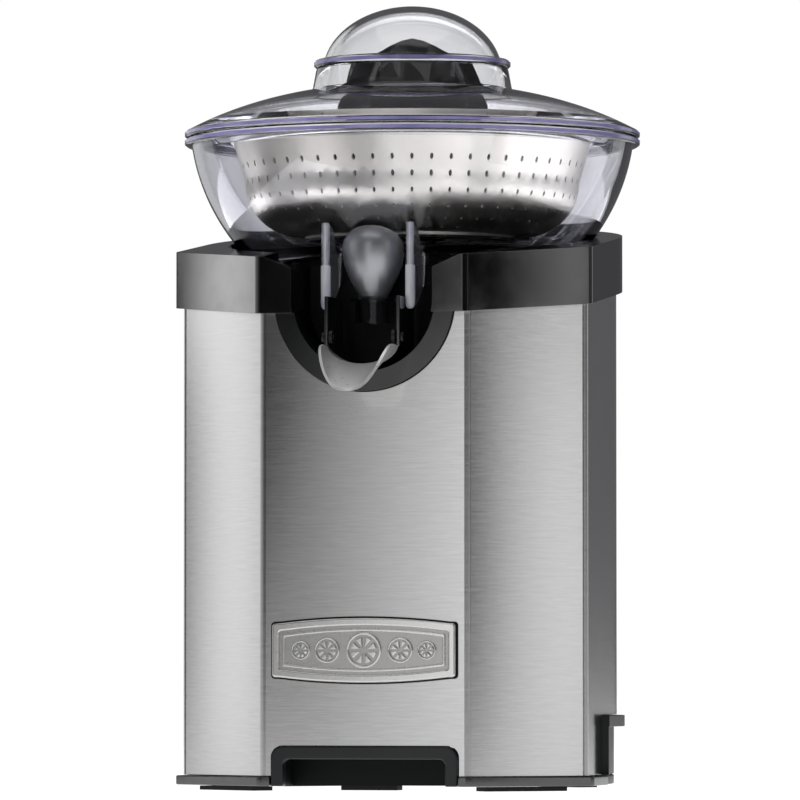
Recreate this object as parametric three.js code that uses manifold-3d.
// Citrus press juicer with a steel housing, clear juice bowl, strainer basket and covers.
// Millimetres, +Z up, -Y is the front. Z = 0 is the surface the juicer stands on.
// The spindle axis is the line x = 0, y = 0 while building; the whole group is then moved
// along Y so that the origin is the bottom centre of its bounding box.
import * as THREE from "three";
import { mergeVertices } from "three/addons/utils/BufferGeometryUtils.js";
import Module from "manifold-3d";

const wasm = await Module();
wasm.setup();

// ---------------------------------------------------------------- driving dimensions
const GAP = 0.3; // clearance between pieces that touch
const LATHE_SEGMENTS = 24;
const ARC_SEGMENTS = 10;
const FAR = 120; // reach of cutters that run past the whole body

// Housing outline seen from above: flat front, two raked wings, straight sides, round back.
const STEEL = { front: 80.5, crease: 39.9, side: 79.6, shoulder: 48.5 };
const COLLAR = { front: 86.3, crease: 40.5, side: 82.0, shoulder: 51.3 };
const BASE = { front: 82.9, crease: 40.9, side: 82.3, shoulder: 49.6 };
const SHELL_WALL = 1.2;
const SHELL_BOTTOM = 5.8;

// Collar: two parallel planes that rise towards the back.
const COLLAR_SLOPE = 0.12;
const COLLAR_BOTTOM = 181.4;
const COLLAR_HEIGHT = 21.7;
const COLLAR_DATUM_Y = -85;
const COLLAR_BORE_R = 72;

// Spout notch in the front panel.
const NOTCH_Z = 186.6;
const NOTCH_R = 27.5;
const SURROUND_R = 35;
const TRIM_FRONT_Y = -82.4;
const TRIM_BACK_Y = -77;
const WELL_R = 27.8;
const WELL_WALL = 2;
const WELL_FRONT_Y = -76.5;
const WELL_BACK_Y = -52;
const WELL_TOP = 201;

// Spout: U frame fixed in the notch and a steel lip that flips up on two pins.
const SPOUT_HALF_WIDTH = 14.7;
const SPOUT_WALL = 1.5;
const SPOUT_FRONT_Y = -84.9;
const SPOUT_BACK_Y = -60;
const SPOUT_TOP = 187.6;
const SPOUT_OPEN_Z = 180;
const SPOUT_SPRING_Z = 169;
const SPOUT_BOTTOM = 160.3;
const LIP_ROOT_Y = -85.4;
const LIP_REACH = 24.9;
const LIP_TIP_Z = 150.5;
const LIP_WALL = 1.1;
const LIP_PIVOT = { y: -83, z: 172 };
const LIP_ROOT_SAG = 8.2;
const EAR = { inner: 11.5, outer: 12.8, r: 2.9, neck: 13.5 };
const PIN = { r: 1.1, inner: 11.2, outer: 15.1, head: 15.8, headR: 1.9 };

// Base: ring, plate, grip arch and feet.
const FOOT_TOP = 1.6;
const BASE_BOTTOM = 1.9;
const BASE_TOP = 5.5;
const ARCH = { half: 36.3, top: 17, wall: 4.8, corner: 4.5 };
const RING_WIDTH = 6;
const REAR_INSET = 1.1;
const POCKET = { back: -56, top: 14.5, wall: 2 };
const REAR_SPLIT_Y = -22;
const WRAP = { side: 82.7, bottom: 24.2, top: 28.5, wall: 2, end: 3 };
const GLAND = { z: 14, r: 6, headR: 8, bore: 3.6, front: 73, head: 75.6, back: 81.5 };
const FOOT = { length: 34, width: 9 };
const FEET = {
  front_left: [-56, -58, 38],
  front_right: [56, -58, -38],
  rear_left: [-50, 48, -44],
  rear_right: [50, 48, 44],
};

// Badge on the front panel.
const BADGE = { half: 35.7, height: 24.5, bow: 2, z: 53.4, corner: 3 };

// Juice bowl: ellipsoidal wall.
const BOWL = { a: 87, b: 82.5, z: 262, wall: 3, rimR: 88.9, rimBottom: 250.3, rimTop: 253 };
const BOWL_FLOOR = 204.5;
const BOWL_FLOOR_THICK = 2.5;
const BOWL_CLEARANCE = 1.2;
const CHIMNEY = { inner: 7.5, outer: 9.5, top: 221 };
const DRAIN = {
  y: -66, topR: 11.8, topZ: 207, domeTop: 221, neckR: 8.8, tubeR: 6.9, neck: 186, bottom: 178, wall: 2,
};
const BLADE = { inner: 15.2, outer: 17.8, front: -77, back: -56, bottom: 183, top: 216 };

// Strainer basket, its hub and the reamer.
const BASKET = { rimR: 69.8, rimZ: 253.6, kneeR: 65.2, kneeZ: 236, floorR: 44, floorZ: 215, wall: 1.1 };
const WINDOW = { count: 6, inner: 27, outer: 38, span: 22 };
const SHUTTER = { inner: 24, outer: 41, tab: 47, bottom: 213.2, top: 214.7 };
const HUB = { r: 13, bore: 10.6, bottom: 212.6, top: 243, flangeR: 22, flangeBottom: 216.5, flangeTop: 218.8 };
const BEARING = { bore: 5.8, r: 9.9, bottom: 216, top: 225.4 };
const SLEEVE_TOP = 236.6;
const REAMER = { tip: 293.2, bottom: 219.6, r: 34.5, ribs: 10, depth: 0.05 };

// Covers.
const LID = {
  rimR: 88.9, rimBottom: 253.3, rimTop: 256.3, neckR: 38.6, neckTop: 280.6, wall: 2.2,
  skirtR: 82.4, skirtZ: 249,
};
const DOME = { flangeR: 38.4, flangeBottom: 280.9, flangeTop: 284, a: 35.1, b: 26.2, z: 279, wall: 2 };

// Drive: motor, two gear stages, sliding hexagonal spindle, return spring and switch.
const PLATE_LOWER = { bottom: 120, top: 123 };
const PLATE_UPPER = { bottom: 150, top: 153 };
const PLATE_R = 70;
const DECK = { bottom: 196, top: 198.5, r: 71.4, hole: 11, seat: 204.2, seatInner: 48, seatOuter: 54 };
const STAGE_1 = { module: 1, pinion: 10, wheel: 40 };
const STAGE_2 = { module: 1.25, pinion: 12, wheel: 48 };
const IDLER_Y = STAGE_2.module * (STAGE_2.pinion + STAGE_2.wheel) / 2;
const MOTOR_X = STAGE_1.module * (STAGE_1.pinion + STAGE_1.wheel) / 2;
const MOTOR = { r: 26, bottom: 40, top: 108, shaftR: 2.5 };
const SPINDLE = { r: 4.2, bottom: 107.5, top: 238, collarR: 8, collarZ: 166 };
const HEX_SOCKET_R = 4.8;
const SPRING = { bottom: 153.5, top: 165.7, r: 6.6, wire: 0.8, turns: 5 };
const LEVER = { pivotX: -20, z: 105.5, thick: 1, reach: 24.5 };
const POSTS = [[-45, -45], [45, -45], [-45, 45], [62, 8]];
const POST_R = 4;

// ---------------------------------------------------------------- materials
const material = (color, roughness, metalness = 0, opacity = 1) =>
  new THREE.MeshStandardMaterial({ color, roughness, metalness, opacity, transparent: opacity < 1 });
const BRUSHED = () => material(0xa9a9aa, 0.35, 1);
const SATIN = () => material(0xc9c9c6, 0.25, 1);
const BLACK_GLOSS = () => material(0x0b0b0d, 0.15);
const BLACK = () => material(0x151517, 0.5);
const RUBBER = () => material(0x101010, 0.9);
const CLEAR = () => material(0xdcdcf4, 0.05, 0, 0.35);
const STEEL_PART = () => material(0x8d9094, 0.35, 1);
const GEAR_WHITE = () => material(0xe6e2d6, 0.5);

// ---------------------------------------------------------------- geometry helpers
const group = new THREE.Group();

function solid(geometry) {
  geometry.deleteAttribute("normal");
  geometry.deleteAttribute("uv");
  const merged = mergeVertices(geometry, 1e-4);
  return new wasm.Manifold(new wasm.Mesh({
    numProp: 3,
    vertProperties: new Float32Array(merged.attributes.position.array),
    triVerts: new Uint32Array(merged.index.array),
  }));
}

function surface(body) {
  const mesh = body.getMesh();
  const geometry = new THREE.BufferGeometry();
  geometry.setAttribute("position", new THREE.BufferAttribute(mesh.vertProperties, 3));
  geometry.setIndex(new THREE.BufferAttribute(mesh.triVerts, 1));
  geometry.computeVertexNormals();
  return geometry;
}

function add(name, body, look) {
  const mesh = new THREE.Mesh(surface(body), look);
  mesh.name = name;
  group.add(mesh);
  return mesh;
}

const joinAll = (bodies) => bodies.reduce((whole, body) => whole.add(body));
const cutAll = (body, tools) => tools.reduce((rest, tool) => rest.subtract(tool), body);

function box(x0, x1, y0, y1, z0, z1) {
  const geometry = new THREE.BoxGeometry(x1 - x0, y1 - y0, z1 - z0);
  return solid(geometry.translate((x0 + x1) / 2, (y0 + y1) / 2, (z0 + z1) / 2));
}

// A round or many-sided bar between two heights.
function bar(x, y, radius, z0, z1, sides = 24) {
  const geometry = new THREE.CylinderGeometry(radius, radius, z1 - z0, sides);
  return solid(geometry.rotateX(Math.PI / 2).translate(x, y, (z0 + z1) / 2));
}

// A bar lying along X or along Y.
function barX(y, z, radius, x0, x1, sides = 12) {
  const geometry = new THREE.CylinderGeometry(radius, radius, x1 - x0, sides);
  return solid(geometry.rotateZ(Math.PI / 2).translate((x0 + x1) / 2, y, z));
}

function barY(x, z, radius, y0, y1, sides = 20) {
  const geometry = new THREE.CylinderGeometry(radius, radius, y1 - y0, sides);
  return solid(geometry.translate(x, (y0 + y1) / 2, z));
}

// A solid of revolution about the spindle axis from a closed list of [radius, z] corners.
function turned(corners, segments = LATHE_SEGMENTS) {
  const points = [...corners, corners[0]].map(([r, z]) => new THREE.Vector2(r, z));
  return solid(new THREE.LatheGeometry(points, segments).rotateX(Math.PI / 2));
}

// Points of an ellipse arc in the [radius, z] half-plane, from one height to another.
function ellipseArc(a, b, centreZ, z0, z1, steps) {
  return Array.from({ length: steps + 1 }, (_, i) => {
    const z = z0 + (z1 - z0) * i / steps;
    return [a * Math.sqrt(Math.max(0, 1 - ((z - centreZ) / b) ** 2)), z];
  });
}

// Upright prism of any outline.
function upright(shape, z0, z1) {
  const geometry = new THREE.ExtrudeGeometry(shape, {
    depth: z1 - z0,
    bevelEnabled: false,
    curveSegments: ARC_SEGMENTS,
  });
  return solid(geometry.translate(0, 0, z0));
}

// Prism whose outline is drawn in the XZ plane and which runs along Y.
function frontal(shape, y0, y1) {
  const geometry = new THREE.ExtrudeGeometry(shape, {
    depth: y1 - y0,
    bevelEnabled: false,
    curveSegments: ARC_SEGMENTS,
  });
  return solid(geometry.rotateX(Math.PI / 2).translate(0, y1, 0));
}

// Prism whose outline is drawn in the YZ plane and which runs along X.
function sideways(corners, x0, x1) {
  const shape = new THREE.Shape(corners.map(([y, z]) => new THREE.Vector2(y, z)));
  const geometry = new THREE.ExtrudeGeometry(shape, { depth: x1 - x0, bevelEnabled: false });
  const swap = new THREE.Matrix4().set(0, 0, 1, x0, 1, 0, 0, 0, 0, 1, 0, 0, 0, 0, 0, 1);
  return solid(geometry.applyMatrix4(swap));
}

// Housing outline, moved inwards by an inset.
function housingShape(spec, inset = 0) {
  const front = spec.front - inset;
  const crease = spec.crease - inset * 0.36;
  const side = spec.side - inset;
  const shoulder = spec.shoulder - inset * 0.36;
  const shape = new THREE.Shape();
  shape.moveTo(-crease, -front);
  shape.lineTo(crease, -front);
  shape.lineTo(side, -shoulder);
  shape.lineTo(side, 0);
  shape.absarc(0, 0, side, 0, Math.PI, false);
  shape.lineTo(-side, -shoulder);
  shape.closePath();
  return shape;
}

// A big block above the sloping plane z = level + COLLAR_SLOPE * (y - COLLAR_DATUM_Y).
function aboveSlope(level) {
  const tilt = Math.atan(COLLAR_SLOPE);
  const geometry = new THREE.BoxGeometry(400, 400, 200).translate(0, 0, 100).rotateX(tilt);
  return solid(geometry.translate(0, COLLAR_DATUM_Y, level));
}

// U outline: a half disc below a centre height with straight sides above it.
function cupShape(radius, centreZ, topZ) {
  const shape = new THREE.Shape();
  shape.moveTo(-radius, topZ);
  shape.lineTo(-radius, centreZ);
  shape.absarc(0, centreZ, radius, Math.PI, 2 * Math.PI, false);
  shape.lineTo(radius, topZ);
  shape.closePath();
  return shape;
}

// Straight-sided outline with two rounded upper corners.
function archShape(half, z0, z1, corner) {
  const shape = new THREE.Shape();
  shape.moveTo(-half, z0);
  shape.lineTo(half, z0);
  shape.lineTo(half, z1 - corner);
  shape.absarc(half - corner, z1 - corner, corner, 0, Math.PI / 2, false);
  shape.lineTo(-half + corner, z1);
  shape.absarc(-half + corner, z1 - corner, corner, Math.PI / 2, Math.PI, false);
  shape.closePath();
  return shape;
}

// ---------------------------------------------------------------- housing
const shellNotch = frontal(cupShape(SURROUND_R + GAP, NOTCH_Z, 240), -FAR, -60);
const archCut = frontal(archShape(ARCH.half + GAP, -5, ARCH.top + GAP, ARCH.corner), -FAR, -60);
const rearCut = box(-FAR, FAR, REAR_SPLIT_Y, FAR, -5, WRAP.top + GAP);

add("steel_shell", cutAll(upright(housingShape(STEEL), SHELL_BOTTOM, 225), [
  upright(housingShape(STEEL, SHELL_WALL), -5, 240),
  aboveSlope(COLLAR_BOTTOM - GAP),
  shellNotch,
  archCut,
  rearCut,
]), BRUSHED());

// The bore is straight at first and then follows the flare of the bowl.
const collarBore = turned([
  [0, 100], [COLLAR_BORE_R, 100], [COLLAR_BORE_R, 212],
  ...ellipseArc(BOWL.a + BOWL_CLEARANCE, BOWL.b + BOWL_CLEARANCE, BOWL.z, 214, 230, 4), [0, 230],
], 60);
const notchCut = frontal(cupShape(NOTCH_R, NOTCH_Z, 240), -FAR, -60);
add("top_collar", cutAll(upright(housingShape(COLLAR), 170, 240), [
  aboveSlope(COLLAR_BOTTOM + COLLAR_HEIGHT),
  collarBore,
  notchCut,
  frontal(cupShape(WELL_R + WELL_WALL + GAP, NOTCH_Z, WELL_TOP + GAP), WELL_FRONT_Y - GAP, -50),
]).intersect(aboveSlope(COLLAR_BOTTOM)), BLACK_GLOSS());

const surroundBand = frontal(cupShape(SURROUND_R, NOTCH_Z, NOTCH_Z + 1), TRIM_FRONT_Y, TRIM_BACK_Y);
add("spout_surround", cutAll(surroundBand, [notchCut, aboveSlope(COLLAR_BOTTOM - GAP)]), BLACK_GLOSS());

add("spout_well", cutAll(
  frontal(cupShape(WELL_R + WELL_WALL, NOTCH_Z, WELL_TOP), WELL_FRONT_Y, WELL_BACK_Y), [
    frontal(cupShape(WELL_R, NOTCH_Z, WELL_TOP + 20), WELL_FRONT_Y - 5, WELL_BACK_Y - WELL_WALL),
  ]), BLACK());

const deckCutX = WELL_R + WELL_WALL + 0.8;
const deckCut = box(-deckCutX, deckCutX, -FAR, WELL_BACK_Y + 1, 150, 240);
add("top_deck", turned([
  [DECK.hole, DECK.bottom], [DECK.r, DECK.bottom], [DECK.r, DECK.top], [DECK.seatOuter, DECK.top],
  [DECK.seatOuter, DECK.seat], [DECK.seatInner, DECK.seat], [DECK.seatInner, DECK.top], [DECK.hole, DECK.top],
]).subtract(deckCut), BLACK());

// ---------------------------------------------------------------- spout
function spoutSection(half, springZ, bottomZ) {
  const rise = springZ - bottomZ;
  const radius = (half ** 2 + rise ** 2) / (2 * rise);
  const start = Math.atan2(springZ - (bottomZ + radius), -half);
  const end = Math.atan2(springZ - (bottomZ + radius), half);
  const shape = new THREE.Shape();
  shape.moveTo(-half, SPOUT_TOP);
  shape.lineTo(-half, springZ);
  shape.absarc(0, bottomZ + radius, radius, start, end, false);
  shape.lineTo(half, SPOUT_TOP);
  shape.closePath();
  return shape;
}

const channelHalf = SPOUT_HALF_WIDTH - SPOUT_WALL;
const outerSection = spoutSection(SPOUT_HALF_WIDTH, SPOUT_SPRING_Z, SPOUT_BOTTOM);
const innerSection = spoutSection(channelHalf, SPOUT_SPRING_Z, SPOUT_BOTTOM + SPOUT_WALL);
const pinBore = barX(LIP_PIVOT.y, LIP_PIVOT.z, PIN.r + GAP, -30, 30);
add("spout_frame", cutAll(frontal(outerSection, SPOUT_FRONT_Y, SPOUT_BACK_Y), [
  frontal(innerSection, SPOUT_FRONT_Y - 5, SPOUT_BACK_Y + 5),
  box(-channelHalf, channelHalf, -FAR, -50, SPOUT_OPEN_Z, 200),
  pinBore,
]), BLACK());

// The lip is a spoon: it starts as the arc of the frame and runs out to a rounded point.
function lipPoint(angle, along, wall) {
  const half = SPOUT_HALF_WIDTH - 0.5 - wall;
  const x = half * Math.sin(angle);
  const rootZ = SPOUT_SPRING_Z - LIP_ROOT_SAG * Math.cos(angle);
  const rimZ = LIP_TIP_Z + (SPOUT_SPRING_Z - LIP_TIP_Z) * Math.abs(Math.sin(angle)) ** 2;
  const y = LIP_ROOT_Y - LIP_REACH * Math.cos(angle) * along;
  const z = rootZ + (rimZ - rootZ) * along ** 1.4 + wall * Math.abs(Math.cos(angle));
  return [x, y, z];
}

function lipBody() {
  const across = 16;
  const along = 5;
  const limit = 84 * Math.PI / 180;
  const positions = [];
  for (const wall of [0, LIP_WALL]) {
    for (let i = 0; i <= across; i++) {
      for (let j = 0; j <= along; j++) {
        positions.push(...lipPoint(-limit + 2 * limit * i / across, j / along, wall));
      }
    }
  }
  const row = along + 1;
  const layer = (across + 1) * row;
  const at = (k, i, j) => k * layer + i * row + j;
  const index = [];
  const quad = (a, b, c, d) => index.push(a, c, b, a, d, c);
  for (let i = 0; i < across; i++) {
    for (let j = 0; j < along; j++) {
      quad(at(0, i, j), at(0, i, j + 1), at(0, i + 1, j + 1), at(0, i + 1, j));
      quad(at(1, i, j), at(1, i + 1, j), at(1, i + 1, j + 1), at(1, i, j + 1));
    }
    quad(at(0, i, 0), at(0, i + 1, 0), at(1, i + 1, 0), at(1, i, 0));
    quad(at(0, i, along), at(1, i, along), at(1, i + 1, along), at(0, i + 1, along));
  }
  for (let j = 0; j < along; j++) {
    quad(at(0, 0, j), at(1, 0, j), at(1, 0, j + 1), at(0, 0, j + 1));
    quad(at(0, across, j), at(0, across, j + 1), at(1, across, j + 1), at(1, across, j));
  }
  const geometry = new THREE.BufferGeometry();
  geometry.setAttribute("position", new THREE.Float32BufferAttribute(positions, 3));
  geometry.setIndex(index);
  return solid(geometry);
}

// Two distances from the middle, put on one side of it and in rising order.
const span = (side, near, far) => [side * near, side * far].sort((a, b) => a - b);

const ears = [-1, 1].map((side) => {
  const [x0, x1] = span(side, EAR.inner, EAR.outer);
  const [neck0, neck1] = span(side, EAR.inner, EAR.neck);
  return barX(LIP_PIVOT.y, LIP_PIVOT.z, EAR.r, x0, x1)
    .add(box(x0, x1, -87.5, -83.5, 169.2, 171.5))
    .add(box(neck0, neck1, -89, LIP_ROOT_Y, 166.3, 170.5))
    .subtract(pinBore);
});
add("spout_lip", joinAll([lipBody(), ...ears]), SATIN());

for (const [name, side] of [["spout_pin_left", -1], ["spout_pin_right", 1]]) {
  const pin = barX(LIP_PIVOT.y, LIP_PIVOT.z, PIN.r, ...span(side, PIN.inner, PIN.outer));
  const head = barX(LIP_PIVOT.y, LIP_PIVOT.z, PIN.headR, ...span(side, PIN.outer - 0.1, PIN.head));
  add(name, pin.add(head), STEEL_PART());
}

// ---------------------------------------------------------------- base
const ringInner = upright(housingShape(STEEL, RING_WIDTH), -5, 20);
const gripCut = box(-ARCH.half - GAP, ARCH.half + GAP, -FAR, POCKET.back, -5, 30);
const behindSplit = box(-FAR, FAR, REAR_SPLIT_Y, FAR, -5, 40);
const ringFront = upright(housingShape(BASE), BASE_BOTTOM, BASE_TOP).subtract(behindSplit);
const ringBack = upright(housingShape(STEEL, REAR_INSET), BASE_BOTTOM, BASE_TOP);
add("base_ring", cutAll(ringFront.add(ringBack), [ringInner, gripCut]), BLACK());

const plateOutline = housingShape(STEEL, RING_WIDTH + GAP);
add("base_plate", upright(plateOutline, FOOT_TOP + 1, BASE_TOP).subtract(gripCut), BLACK());

const archOuter = archShape(ARCH.half, BASE_BOTTOM, ARCH.top, ARCH.corner);
const archInner = archShape(ARCH.half - ARCH.wall, -5, ARCH.top - ARCH.wall, ARCH.corner / 2);
const archBand = frontal(archOuter, TRIM_FRONT_Y, TRIM_BACK_Y);
add("arch_trim", archBand.subtract(frontal(archInner, -FAR, -60)), BLACK());

const pocketHalf = ARCH.half - 1;
const pocketInner = pocketHalf - POCKET.wall;
const pocketBack = POCKET.back - GAP;
add("grip_pocket", box(-pocketHalf, pocketHalf, TRIM_BACK_Y + GAP, pocketBack, BASE_BOTTOM, POCKET.top)
  .subtract(box(-pocketInner, pocketInner, -FAR, pocketBack - POCKET.wall, -5, POCKET.top - 1.8)), BLACK());

for (const [place, [x, y, turn]] of Object.entries(FEET)) {
  const pad = new THREE.BoxGeometry(FOOT.length, FOOT.width, FOOT_TOP).rotateZ(-turn * Math.PI / 180);
  add(`foot_${place}`, solid(pad.translate(x, y, FOOT_TOP / 2)), RUBBER());
}
add("foot_centre", box(-16, 6, -52, -43, 0, 2.3), RUBBER());

// Cord wrap: a black band behind the steel, with a flange that keeps the cord down.
const wrapBand = upright(housingShape(STEEL, REAR_INSET), BASE_TOP + GAP, WRAP.bottom + 0.1);
const wrapFlange = upright(housingShape({ ...STEEL, side: WRAP.side }), WRAP.bottom, WRAP.top);
const wrapEnds = upright(housingShape({ ...STEEL, side: WRAP.side - 0.3 }), BASE_TOP + GAP, WRAP.top)
  .subtract(box(-FAR, FAR, REAR_SPLIT_Y + WRAP.end, FAR, -5, 40));
add("cord_wrap", cutAll(joinAll([wrapBand, wrapFlange, wrapEnds]), [
  upright(housingShape(STEEL, REAR_INSET + WRAP.wall), -5, 60),
  box(-FAR, FAR, -FAR, REAR_SPLIT_Y + GAP, -5, 60),
  barY(0, GLAND.z, GLAND.r + 0.4, 60, 100),
]), BLACK());

add("cord_gland", barY(0, GLAND.z, GLAND.r, GLAND.front, GLAND.back)
  .add(barY(0, GLAND.z, GLAND.headR, GLAND.front, GLAND.head))
  .subtract(barY(0, GLAND.z, GLAND.bore, 60, 100)), RUBBER());

// ---------------------------------------------------------------- badge
function badgeShape(grow) {
  const half = BADGE.half + grow;
  const edge = BADGE.height / 2 + grow - BADGE.bow;
  const shape = new THREE.Shape();
  shape.moveTo(-half + BADGE.corner, -edge);
  shape.quadraticCurveTo(0, -edge - 2 * BADGE.bow, half - BADGE.corner, -edge);
  shape.quadraticCurveTo(half, -edge, half, -edge + BADGE.corner);
  shape.lineTo(half, edge - BADGE.corner);
  shape.quadraticCurveTo(half, edge, half - BADGE.corner, edge);
  shape.quadraticCurveTo(0, edge + 2 * BADGE.bow, -half + BADGE.corner, edge);
  shape.quadraticCurveTo(-half, edge, -half, edge - BADGE.corner);
  shape.lineTo(-half, -edge + BADGE.corner);
  shape.quadraticCurveTo(-half, -edge, -half + BADGE.corner, -edge);
  return shape;
}

function badgePiece(name, grow, hole, depthBack, depthFront, look) {
  const body = frontal(badgeShape(grow), -STEEL.front - depthFront, -STEEL.front - depthBack);
  const cutter = hole === null ? [] : [frontal(badgeShape(hole), -FAR, -60)];
  const mesh = add(name, cutAll(body, cutter), look);
  mesh.position.z = BADGE.z;
}
badgePiece("badge_gasket", 0.6, null, 0.2, 0.6, BLACK());
badgePiece("badge_frame", 0, -4.6, 0.9, 2.4, SATIN());
badgePiece("badge_field", -4.9, null, 0.9, 1.6, SATIN());

// ---------------------------------------------------------------- juice bowl
function bowlBody() {
  const inner = { a: BOWL.a - BOWL.wall, b: BOWL.b - BOWL.wall };
  const floorTop = BOWL_FLOOR + BOWL_FLOOR_THICK;
  const innerWall = ellipseArc(inner.a, inner.b, BOWL.z, BOWL.rimTop, floorTop + 2, 7);
  const shellBody = turned([
    [CHIMNEY.inner, BOWL_FLOOR], [60, BOWL_FLOOR],
    ...ellipseArc(BOWL.a, BOWL.b, BOWL.z, 206, BOWL.rimBottom, 7),
    [BOWL.rimR, BOWL.rimBottom], [BOWL.rimR, BOWL.rimTop],
    ...innerWall,
    [56, floorTop], [CHIMNEY.outer, floorTop], [CHIMNEY.outer, CHIMNEY.top], [CHIMNEY.inner, CHIMNEY.top],
  ]);
  const cavity = turned([[0, floorTop], [56, floorTop], ...[...innerWall].reverse(), [0, BOWL.rimTop]]);
  const funnel = (offset) => turned([
    [0, DRAIN.bottom - offset], [DRAIN.tubeR - offset, DRAIN.bottom - offset],
    [DRAIN.tubeR - offset, DRAIN.neck], [DRAIN.neckR - offset, DRAIN.neck + 0.1],
    [DRAIN.neckR - offset, DRAIN.neck + 2], [DRAIN.topR - offset, DRAIN.topZ],
    [(DRAIN.topR - offset) * 0.75, DRAIN.topZ + (DRAIN.domeTop - DRAIN.topZ) * 0.66 - offset],
    [0, DRAIN.domeTop - offset],
  ], 20).translate([0, DRAIN.y, 0]);
  const blades = [-1, 1].map((side) => sideways([
    [BLADE.front, BLADE.bottom], [BLADE.front + 5, BLADE.bottom], [BLADE.back, BLADE.bottom + 12],
    [BLADE.back, BLADE.top - 4], [BLADE.front, BLADE.top],
  ], ...span(side, BLADE.inner, BLADE.outer)));
  return joinAll([shellBody, funnel(0), ...blades]).subtract(cavity).subtract(funnel(DRAIN.wall));
}
add("juice_bowl", bowlBody(), CLEAR());

// ---------------------------------------------------------------- strainer basket
function sector(inner, outer, centreDeg, spanDeg, z0, z1) {
  const start = (centreDeg - spanDeg / 2) * Math.PI / 180;
  const end = (centreDeg + spanDeg / 2) * Math.PI / 180;
  const shape = new THREE.Shape();
  shape.absarc(0, 0, outer, start, end, false);
  shape.absarc(0, 0, inner, end, start, true);
  shape.closePath();
  const settings = { depth: z1 - z0, bevelEnabled: false, curveSegments: 4 };
  return solid(new THREE.ExtrudeGeometry(shape, settings).translate(0, 0, z0));
}
const windows = Array.from({ length: WINDOW.count }, (_, i) =>
  sector(WINDOW.inner, WINDOW.outer, i * 360 / WINDOW.count, WINDOW.span, 200, 230));

function basketWall(inset) {
  const a = BASKET.kneeR - BASKET.floorR - inset;
  const b = BASKET.kneeZ - BASKET.floorZ - inset;
  const steps = 5;
  return Array.from({ length: steps + 1 }, (_, i) => {
    const angle = Math.PI / 2 * i / steps;
    return [BASKET.floorR + a * Math.sin(angle), BASKET.kneeZ - b * Math.cos(angle)];
  });
}
add("strainer_basket", cutAll(turned([
  [HUB.r + 0.4, BASKET.floorZ], ...basketWall(0), [BASKET.rimR, BASKET.rimZ - 1.6],
  [BASKET.rimR + 1.8, BASKET.rimZ - 1.6], [BASKET.rimR + 1.8, BASKET.rimZ],
  [BASKET.rimR - BASKET.wall, BASKET.rimZ], ...basketWall(BASKET.wall).reverse(),
  [HUB.r + 0.4, BASKET.floorZ + BASKET.wall],
]), windows), SATIN());

add("pulp_shutter", cutAll(turned([
  [SHUTTER.inner, SHUTTER.bottom], [SHUTTER.outer, SHUTTER.bottom],
  [SHUTTER.outer, SHUTTER.top], [SHUTTER.inner, SHUTTER.top],
]).add(box(SHUTTER.outer - 1, SHUTTER.tab, -3, 3, SHUTTER.bottom, SHUTTER.top)), windows), BLACK());

const hubTube = turned([
  [HUB.bore, HUB.bottom], [HUB.r, HUB.bottom], [HUB.r, HUB.top], [0, HUB.top],
  [0, HUB.top - 3], [HUB.bore, HUB.top - 3],
]);
const hubFlange = turned([
  [HUB.r - 0.5, HUB.flangeBottom], [HUB.flangeR, HUB.flangeBottom],
  [HUB.flangeR, HUB.flangeTop], [HUB.r - 0.5, HUB.flangeTop],
]);
add("basket_hub", hubTube.add(hubFlange), BLACK());

// Bearing that sits in the mouth of the chimney, and the sleeve that the hexagonal spindle turns.
const spigotR = CHIMNEY.inner - GAP;
add("hub_bearing", turned([
  [BEARING.bore, BEARING.bottom], [spigotR, BEARING.bottom], [spigotR, CHIMNEY.top + 0.4],
  [BEARING.r, CHIMNEY.top + 0.4], [BEARING.r, BEARING.top], [BEARING.bore, BEARING.top],
]), GEAR_WHITE());

add("drive_sleeve", bar(0, 0, BEARING.r, BEARING.top + GAP, SLEEVE_TOP)
  .subtract(bar(0, 0, HEX_SOCKET_R, 200, 250, 6)), GEAR_WHITE());

// ---------------------------------------------------------------- reamer
function reamerProfile() {
  const curve = new THREE.SplineCurve([
    [33.2, 226], [31.6, 245], [29.9, 264], [28, 272.5], [22.6, 279.6], [15.5, 286], [7, 291.4],
  ].map(([r, z]) => new THREE.Vector2(r, z)));
  return curve.getPoints(9).map((p) => [p.x, p.y]);
}

function reamerBody() {
  const foot = [[REAMER.r, REAMER.bottom], [REAMER.r, REAMER.bottom + 2.5]];
  const points = [...foot, ...reamerProfile(), [0, REAMER.tip]];
  const profile = [[0, REAMER.bottom], ...points].map(([r, z]) => new THREE.Vector2(r, z));
  const geometry = new THREE.LatheGeometry(profile, REAMER.ribs * 4).rotateX(Math.PI / 2);
  const position = geometry.attributes.position;
  for (let i = 0; i < position.count; i++) {
    const [x, y, z] = [position.getX(i), position.getY(i), position.getZ(i)];
    const ripple = Math.cos(Math.atan2(y, x) * REAMER.ribs);
    const depth = z > REAMER.bottom + 3 ? REAMER.depth : 0;
    const scale = 1 - depth * (1 - ripple);
    position.setXY(i, x * scale, y * scale);
  }
  const socket = turned([
    [0, 200], [28, 200], [28, 224], [14, 240], [HUB.r + 0.5, HUB.top + 0.5], [0, HUB.top + 0.5],
  ]);
  return solid(geometry).subtract(socket);
}
add("reamer", reamerBody(), BLACK_GLOSS());

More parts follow.
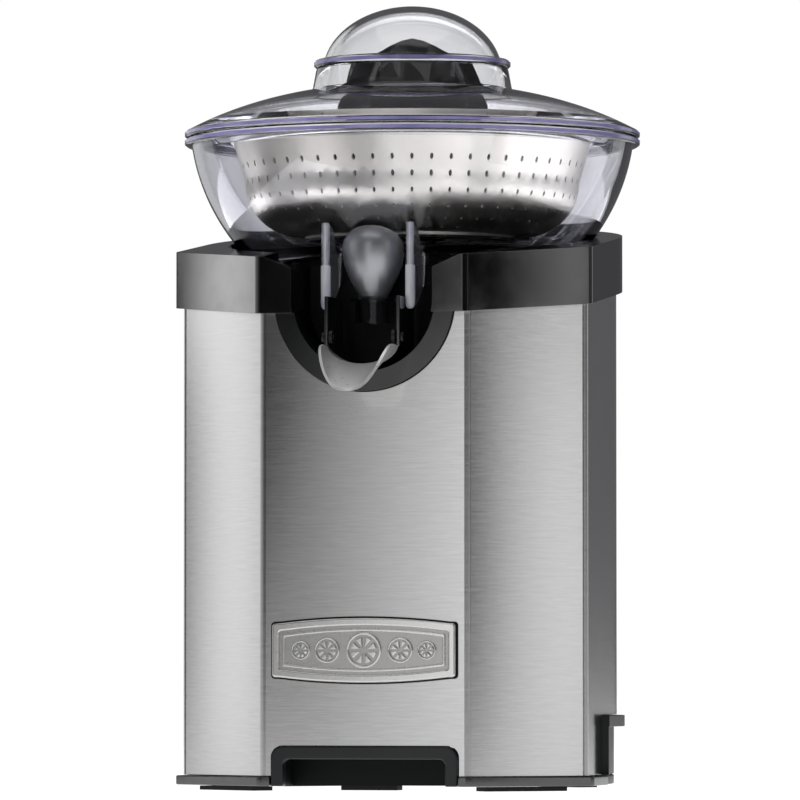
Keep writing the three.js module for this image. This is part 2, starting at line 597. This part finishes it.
// ---------------------------------------------------------------- covers
function lidRoof(drop) {
  const curve = new THREE.QuadraticBezierCurve(
    new THREE.Vector2(LID.rimR - 2 - drop, LID.rimTop + 0.6 - drop),
    new THREE.Vector2(66, 267.6 - drop),
    new THREE.Vector2(LID.neckR + 1 - drop, 272 - drop));
  return curve.getPoints(4).map((p) => [p.x, p.y]);
}
const domeInner = { a: DOME.a - DOME.wall, b: DOME.b - DOME.wall };
add("lid", turned([
  [LID.rimR, LID.rimBottom], [LID.rimR, LID.rimTop], ...lidRoof(0),
  [LID.neckR - 1, LID.neckTop], [LID.neckR - 1 - LID.wall, LID.neckTop],
  ...lidRoof(LID.wall).reverse(), [LID.skirtR, LID.skirtZ], [LID.skirtR - 2, LID.skirtZ],
  [LID.skirtR - 2, LID.rimBottom],
]), CLEAR());

add("dome_cover", turned([
  ...ellipseArc(DOME.a, DOME.b, DOME.z, DOME.flangeTop, DOME.z + DOME.b, 6),
  ...ellipseArc(domeInner.a, domeInner.b, DOME.z, DOME.z + domeInner.b, DOME.flangeBottom, 5),
  [DOME.flangeR, DOME.flangeBottom], [DOME.flangeR, DOME.flangeTop],
]), CLEAR());

// ---------------------------------------------------------------- gear train and motor
function gearShape(teeth, module, phase) {
  const pitchR = teeth * module / 2;
  const rootR = pitchR - 1.2 * module;
  const tipR = pitchR + 0.85 * module;
  const step = 2 * Math.PI / teeth;
  const shape = new THREE.Shape();
  for (let i = 0; i < teeth; i++) {
    const centre = phase + i * step;
    const corners = [[rootR, -0.33], [tipR, -0.11], [tipR, 0.11], [rootR, 0.33]];
    for (const [r, offset] of corners) {
      const angle = centre + offset * step;
      const point = [r * Math.cos(angle), r * Math.sin(angle)];
      if (i === 0 && offset === -0.33) {
        shape.moveTo(...point);
      } else {
        shape.lineTo(...point);
      }
    }
  }
  shape.closePath();
  return shape;
}
function gear(x, y, teeth, module, phase, z0, z1) {
  return upright(gearShape(teeth, module, phase), z0, z1).translate([x, y, 0]);
}

function gearPlate(z0, z1, holes) {
  const plate = bar(0, 0, PLATE_R, z0, z1, 32);
  return cutAll(plate, holes.map(([x, y, r]) => bar(x, y, r, z0 - 1, z1 + 1, 12)));
}
const spindleHole = [0, 0, 5.6];
const shaftHole = [MOTOR_X, IDLER_Y, 4.5];
add("gear_plate_lower", gearPlate(PLATE_LOWER.bottom, PLATE_LOWER.top, [spindleHole, shaftHole]), STEEL_PART());
add("gear_plate_upper", gearPlate(PLATE_UPPER.bottom, PLATE_UPPER.top, [spindleHole]), STEEL_PART());

POSTS.forEach(([x, y], i) => {
  add(`post_lower_${i + 1}`, bar(x, y, POST_R, BASE_TOP + GAP, PLATE_LOWER.bottom - GAP, 12), STEEL_PART());
  add(`post_upper_${i + 1}`, bar(x, y, POST_R, PLATE_UPPER.top + GAP, DECK.bottom - GAP, 12), STEEL_PART());
});
POSTS.slice(0, 3).forEach(([x, y], i) => {
  const spacer = bar(x, y, POST_R, PLATE_LOWER.top + GAP, PLATE_UPPER.bottom - GAP, 12);
  add(`gear_spacer_${i + 1}`, spacer, STEEL_PART());
});

add("motor_can", bar(MOTOR_X, IDLER_Y, MOTOR.r, MOTOR.bottom, MOTOR.top, 28)
  .subtract(bar(MOTOR_X, IDLER_Y, 3.1, 30, 120, 12)), STEEL_PART());
add("motor_cap", bar(MOTOR_X, IDLER_Y, 22, MOTOR.top + GAP, PLATE_LOWER.bottom - GAP, 28)
  .subtract(bar(MOTOR_X, IDLER_Y, 3.1, 30, 130, 12)), BLACK());
const pinionPhase = Math.PI / STAGE_1.pinion;
add("motor_shaft", bar(MOTOR_X, IDLER_Y, MOTOR.shaftR, 28, 134.5, 12)
  .add(gear(MOTOR_X, IDLER_Y, STAGE_1.pinion, STAGE_1.module, pinionPhase, 125.5, 134.5)), STEEL_PART());

const fanBlades = Array.from({ length: 6 }, (_, i) => {
  const blade = new THREE.BoxGeometry(14, 1.6, 7).translate(13, 0, 32.5).rotateZ(i * Math.PI / 3);
  return solid(blade.translate(MOTOR_X, IDLER_Y, 0));
});
const fanHub = bar(MOTOR_X, IDLER_Y, 7, 28.5, 36, 16);
const fanDisc = bar(MOTOR_X, IDLER_Y, 20, 28.5, 30, 24);
add("cooling_fan", joinAll([fanHub, fanDisc, ...fanBlades])
  .subtract(bar(MOTOR_X, IDLER_Y, MOTOR.shaftR + GAP, 20, 50, 12)), GEAR_WHITE());

const smallPhase = Math.PI / STAGE_2.pinion;
add("compound_gear", gear(0, IDLER_Y, STAGE_1.wheel, STAGE_1.module, 0, 126, 133)
  .add(gear(0, IDLER_Y, STAGE_2.pinion, STAGE_2.module, smallPhase, 132.9, 146))
  .subtract(bar(0, IDLER_Y, 2.4, 100, 160, 20)), GEAR_WHITE());
const axle = bar(0, IDLER_Y, 2, PLATE_LOWER.top + GAP, PLATE_UPPER.bottom - GAP, 20);
add("idler_axle", axle, STEEL_PART());

add("output_gear", gear(0, 0, STAGE_2.wheel, STAGE_2.module, 0, 136, 145)
  .add(bar(0, 0, 9, 123.6, 149.4, 20))
  .subtract(bar(0, 0, HEX_SOCKET_R, 100, 160, 6)), GEAR_WHITE());

// ---------------------------------------------------------------- spindle, spring and switch
add("spindle", bar(0, 0, SPINDLE.r, SPINDLE.bottom, SPINDLE.top, 6)
  .add(bar(0, 0, SPINDLE.collarR, SPINDLE.collarZ, SPINDLE.collarZ + 2, 24)), STEEL_PART());

class Helix extends THREE.Curve {
  getPoint(t, target = new THREE.Vector3()) {
    const angle = 2 * Math.PI * SPRING.turns * t;
    const low = SPRING.bottom + SPRING.wire;
    const high = SPRING.top - SPRING.wire;
    return target.set(SPRING.r * Math.cos(angle), SPRING.r * Math.sin(angle), low + (high - low) * t);
  }
}
const wireSection = new THREE.Shape();
wireSection.absarc(0, 0, SPRING.wire, 0, 2 * Math.PI, false);
add("return_spring", solid(new THREE.ExtrudeGeometry(wireSection, {
  steps: 55, extrudePath: new Helix(), curveSegments: 3, bevelEnabled: false,
})), STEEL_PART());

add("spindle_bush", joinAll([bar(0, 0, 10.6, 190, 199.6), bar(0, 0, 14, 192, DECK.bottom - GAP)])
  .subtract(bar(0, 0, 4.9, 180, 210, 16)), GEAR_WHITE());

const cheeks = [[-8.2, -6.2], [6.2, 8.2]].map(([y0, y1]) => box(-30, -16.5, y0, y1, 86, 109));
add("switch_bracket", joinAll([
  box(-30, -27, -8.2, 8.2, 86, PLATE_LOWER.bottom - GAP), box(-30, 12, -8.2, 8.2, 86, 88), ...cheeks,
]).subtract(barY(LEVER.pivotX, LEVER.z, 1.5, -20, 20, 12)), STEEL_PART());
add("switch_pin", barY(LEVER.pivotX, LEVER.z, 1.2, -9, 9, 12), STEEL_PART());
add("switch_body", box(-11, 11, -5.5, 5.5, 88.3, 99), BLACK());
const leverEnd = LEVER.pivotX + LEVER.reach;
add("switch_lever", box(LEVER.pivotX, leverEnd, -4.5, 4.5, LEVER.z - LEVER.thick, LEVER.z + LEVER.thick)
  .add(barY(LEVER.pivotX, LEVER.z, 2.8, -5.8, 5.8, 16))
  .subtract(barY(LEVER.pivotX, LEVER.z, 1.5, -20, 20, 12)), STEEL_PART());

// ---------------------------------------------------------------- frame
const FRONT_Y = LIP_ROOT_Y - LIP_REACH;
const BACK_Y = BOWL.rimR;
group.position.y = -(FRONT_Y + BACK_Y) / 2;

export default group;
